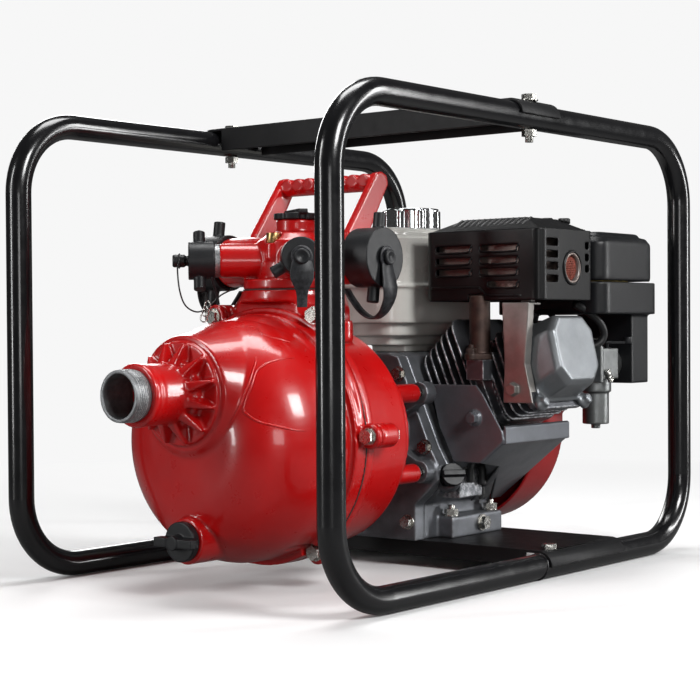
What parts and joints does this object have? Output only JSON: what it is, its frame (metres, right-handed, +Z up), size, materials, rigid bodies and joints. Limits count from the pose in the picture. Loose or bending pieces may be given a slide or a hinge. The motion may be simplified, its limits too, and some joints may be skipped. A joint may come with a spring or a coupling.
{
  "type": "portable fire pump",
  "caption": "Portable fire pump: red multi-stage pump with capped outlets on a small petrol engine, carried in a black tube roll frame.",
  "frame": {"origin": "floor level at the centre of the two tube hoops", "axes": "+X from the suction inlet towards the recoil starter along the shaft, +Y away from the cylinder head, +Z up"},
  "size_m": [0.6942, 0.4314, 0.4832],
  "materials": {
    "frame_black": "gloss black enamel",
    "zinc_bolts": "zinc plated",
    "red_casting": "gloss red enamel over a casting",
    "red_cover": "gloss red enamel",
    "gasket": "matt",
    "thread_grey": "machined grey",
    "rubber_flap": "matt",
    "cap_black": "moulded black",
    "brass": "turned",
    "cast_iron_grey": "as cast",
    "steel": "machined",
    "piston_alloy": "machined",
    "engine_alloy": "die cast, satin",
    "cover_silver": "satin silver",
    "exhaust_brown": "heat browned",
    "guard_black": "satin black",
    "shroud_grey": "satin grey",
    "tank_cream": "gloss pale cream grey",
    "chrome_cap": "polished",
    "plastic_black": "moulded black",
    "filter_foam": "open cell foam",
    "switch_red": "moulded red"
  },
  "bodies": {
    "frame": {"hoop_near": "frame_black", "hoop_far": "frame_black", "top_crossbar": "frame_black", "base_channel": "frame_black", "frame_bolts": "zinc_bolts", "pump_bowl": "red_casting", "pump_casing": "red_casting", "casing_gasket": "gasket", "casing_bolts": "zinc_bolts", "engine_adapter": "red_casting", "inlet_nipple": "thread_grey", "discharge_manifold": "red_casting", "manifold_gasket": "gasket", "outlet_nipples": "thread_grey", "cap_straps": "rubber_flap", "stage_diffuser": "cast_iron_grey", "shaft_seal": "steel", "main_bearings": "steel", "crankcase": "engine_alloy", "side_cover": "engine_alloy", "engine_bolts": "zinc_bolts", "cylinder_barrel": "engine_alloy", "cylinder_head": "engine_alloy", "valve_cover": "cover_silver", "exhaust_pipe": "exhaust_brown", "muffler_bracket": "steel", "muffler_box": "exhaust_brown", "muffler_guard": "guard_black", "lower_shroud": "shroud_grey", "blower_housing": "red_cover", "recoil_cover": "red_cover", "fuel_tank": "tank_cream", "air_cleaner_base": "plastic_black", "air_cleaner_lid": "plastic_black", "air_filter": "filter_foam", "carburettor": "engine_alloy", "spark_lead": "rubber_flap", "breather_tube": "rubber_flap"},
    "rotor": {"crankshaft": "steel", "impeller_first": "brass", "impeller_second": "brass", "flywheel": "cast_iron_grey"},
    "cam": {"camshaft": "steel"},
    "piston_body": {"piston": "piston_alloy"},
    "flap": {"check_flap": "rubber_flap"},
    "drain": {"drain_plug": "cap_black"},
    "outlet_cap_near": {"cap_near": "cap_black"},
    "outlet_cap_far": {"cap_far": "cap_black"},
    "outlet_cap_front_near": {"cap_front_near": "cap_black"},
    "outlet_cap_front_far": {"cap_front_far": "cap_black"},
    "priming": {"priming_cap": "cap_black"},
    "fuel": {"fuel_cap": "chrome_cap"},
    "oil": {"oil_cap": "cap_black"},
    "reel": {"recoil_reel": "steel"},
    "pull_grip": {"recoil_handle": "cap_black"},
    "choke": {"choke_lever": "cap_black"},
    "throttle": {"throttle_lever": "steel"},
    "filter_nut": {"air_cleaner_nut": "plastic_black"},
    "brass_bleed": {"brass_plug": "brass"},
    "switch": {"engine_switch": "switch_red"}
  },
  "joints": [
    {"name": "rotor_spin", "type": "hinge", "parent": "frame", "child": "rotor", "pos_m": [0, 0, 0.144], "axis": [1, 0, 0], "continuous": true},
    {"name": "cam_spin", "type": "hinge", "parent": "frame", "child": "cam", "pos_m": [0, 0, 0.084], "axis": [1, 0, 0], "continuous": true},
    {"name": "piston_slide", "type": "slide", "parent": "frame", "child": "piston_body", "axis": [0, -0.9205, 0.3907], "range_m": [-0.054, 0]},
    {"name": "flap_swing", "type": "hinge", "parent": "frame", "child": "flap", "pos_m": [-0.282, 0, 0.22], "axis": [0, 1, 0], "range_deg": [-38, 0]},
    {"name": "drain_turn", "type": "hinge", "parent": "frame", "child": "drain", "pos_m": [-0.285, 0, 0.054], "axis": [1, 0, 0], "continuous": true},
    {"name": "cap_near_turn", "type": "hinge", "parent": "frame", "child": "outlet_cap_near", "pos_m": [-0.127, 0, 0.321], "axis": [0, -1, 0], "continuous": true},
    {"name": "cap_far_turn", "type": "hinge", "parent": "frame", "child": "outlet_cap_far", "pos_m": [-0.127, 0, 0.321], "axis": [0, 1, 0], "continuous": true},
    {"name": "cap_front_near_turn", "type": "hinge", "parent": "frame", "child": "outlet_cap_front_near", "pos_m": [-0.127, 0, 0.321], "axis": [-0.7071, -0.7071, 0], "continuous": true},
    {"name": "cap_front_far_turn", "type": "hinge", "parent": "frame", "child": "outlet_cap_front_far", "pos_m": [-0.127, 0, 0.321], "axis": [-0.7071, 0.7071, 0], "continuous": true},
    {"name": "priming_turn", "type": "hinge", "parent": "frame", "child": "priming", "pos_m": [-0.122, 0, 0.362], "axis": [0, 0, 1], "continuous": true},
    {"name": "fuel_turn", "type": "hinge", "parent": "frame", "child": "fuel", "pos_m": [0.116, 0.032, 0.36], "axis": [0, 0, 1], "continuous": true},
    {"name": "oil_turn", "type": "hinge", "parent": "frame", "child": "oil", "pos_m": [0.026, -0.083, 0.094], "axis": [-0.5505, -0.72, 0.4226], "continuous": true},
    {"name": "reel_turn", "type": "hinge", "parent": "frame", "child": "reel", "pos_m": [0.22, 0, 0.144], "axis": [1, 0, 0], "range_deg": [-360, 0]},
    {"name": "pull_slide", "type": "slide", "parent": "frame", "child": "pull_grip", "axis": [0, 0, 1], "range_m": [0, 0.25]},
    {"name": "choke_swing", "type": "hinge", "parent": "frame", "child": "choke", "pos_m": [0.195, -0.174, 0.23], "axis": [0, 0, 1], "range_deg": [-30, 30]},
    {"name": "throttle_swing", "type": "hinge", "parent": "frame", "child": "throttle", "pos_m": [0.195, -0.146, 0.23], "axis": [0, 0, 1], "range_deg": [-25, 25]},
    {"name": "filter_nut_turn", "type": "hinge", "parent": "frame", "child": "filter_nut", "pos_m": [0.2095, -0.128, 0.36], "axis": [0, 0, 1], "continuous": true},
    {"name": "bleed_turn", "type": "hinge", "parent": "frame", "child": "brass_bleed", "pos_m": [-0.157, 0, 0.34], "axis": [0, 0, 1], "continuous": true},
    {"name": "switch_turn", "type": "hinge", "parent": "frame", "child": "switch", "pos_m": [0.206, -0.118, 0.212], "axis": [1, 0, 0], "range_deg": [0, 60]}
  ],
  "couplings": [
    {"joint": "cam_spin", "follows": "rotor_spin", "ratio": -0.5}
  ]
}
